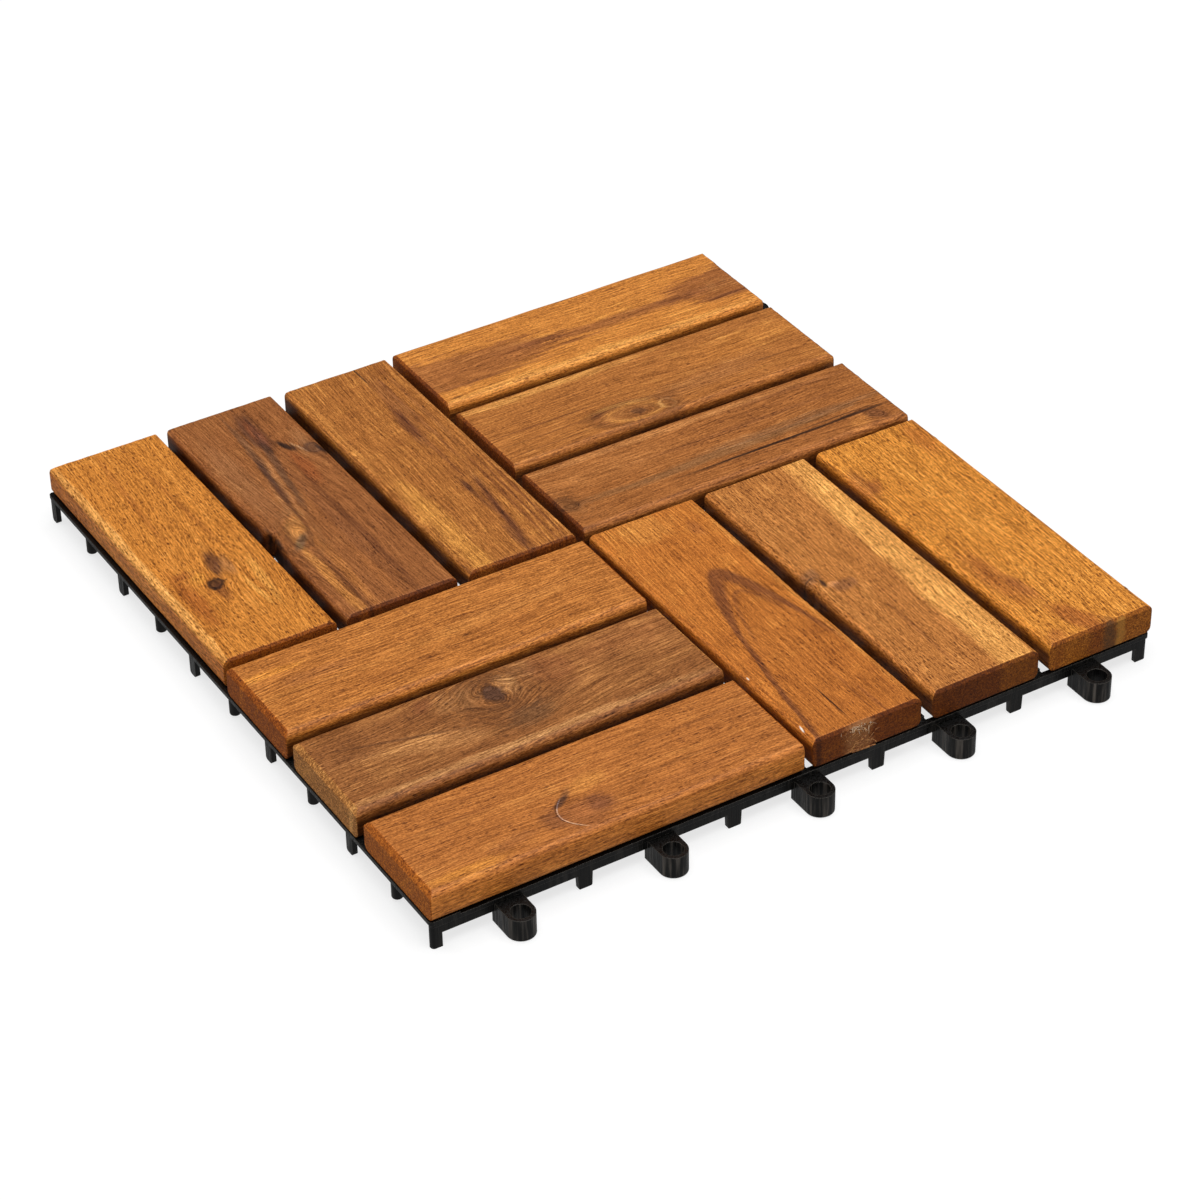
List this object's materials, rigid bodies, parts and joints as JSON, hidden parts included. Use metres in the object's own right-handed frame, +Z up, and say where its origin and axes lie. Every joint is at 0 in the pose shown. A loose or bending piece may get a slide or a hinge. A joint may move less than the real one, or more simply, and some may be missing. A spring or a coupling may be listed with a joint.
{
  "type": "interlocking deck tile",
  "caption": "Square outdoor floor tile of oiled hardwood slats in alternating directions, screwed to a black plastic lattice with clip-together loops and pegs along its edges.",
  "frame": {"origin": "centre of the tile, on the ground plane that its feet stand on", "axes": "+Z up through the slats; +X towards the right side, which has loops; -Y towards the front side, which has loops; pegs hang under the -X and +Y sides"},
  "size_m": [0.3122, 0.3122, 0.024],
  "materials": {
    "base_plastic": "satin black moulding",
    "slat_wood": "oiled acacia",
    "screw_steel": "zinc plated"
  },
  "bodies": {
    "root": {"base_grid": "base_plastic", "slat_back_left_inner": "slat_wood", "slat_back_left_middle": "slat_wood", "slat_back_left_outer": "slat_wood", "slat_back_right_inner": "slat_wood", "slat_back_right_middle": "slat_wood", "slat_back_right_outer": "slat_wood", "slat_front_left_inner": "slat_wood", "slat_front_left_middle": "slat_wood", "slat_front_left_outer": "slat_wood", "slat_front_right_inner": "slat_wood", "slat_front_right_middle": "slat_wood", "slat_front_right_outer": "slat_wood", "screws": "screw_steel"}
  },
  "joints": []
}
